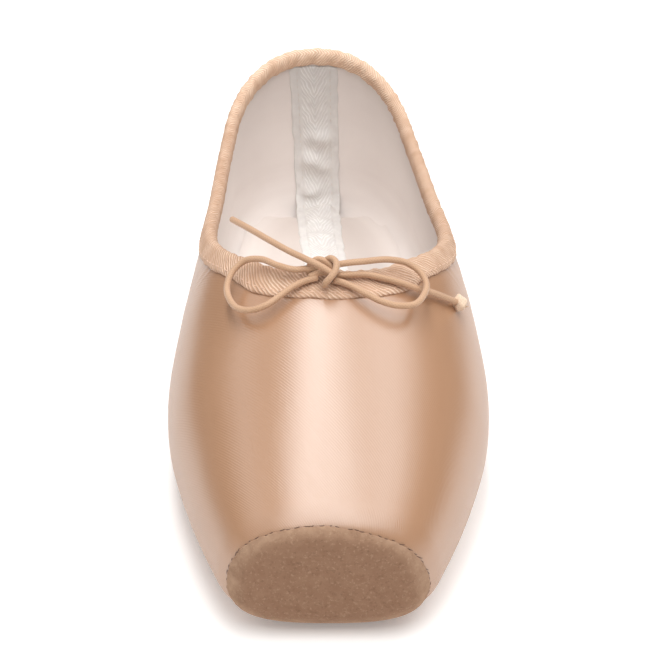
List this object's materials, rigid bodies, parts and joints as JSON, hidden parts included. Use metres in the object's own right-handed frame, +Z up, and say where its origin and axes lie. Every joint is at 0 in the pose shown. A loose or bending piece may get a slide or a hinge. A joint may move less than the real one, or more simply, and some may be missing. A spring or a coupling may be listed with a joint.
{
  "type": "pointe shoe",
  "caption": "Satin pointe shoe with a suede-covered platform toe, bound collar, drawstring bow, soft quarters and a small leather outsole.",
  "frame": {"origin": "on the floor, under the middle of the shoe's box", "axes": "+X to the right seen from the toe, +Y from the toe to the heel, +Z up from the floor"},
  "size_m": [0.0836, 0.2364, 0.0654],
  "materials": {
    "satin": "peach satin over hardened canvas, with a soft lengthwise sheen",
    "sole_leather": "smooth tanned sole leather",
    "insole_board": "cotton-covered board",
    "suede": "brown suede with a short nap",
    "binding_twill": "peach herringbone tape",
    "cotton_tape": "white herringbone cotton tape",
    "elastic_cord": "tan braided elastic cord"
  },
  "bodies": {
    "root": {"upper": "satin", "outsole": "sole_leather", "insole": "insole_board", "suede_tip": "suede", "collar_binding": "binding_twill", "heel_tape": "cotton_tape", "bow_knot": "elastic_cord", "bow_loop_left": "elastic_cord", "bow_loop_right": "elastic_cord", "bow_end_left": "elastic_cord", "bow_end_right": "elastic_cord", "bow_end_knot": "elastic_cord"}
  },
  "joints": []
}
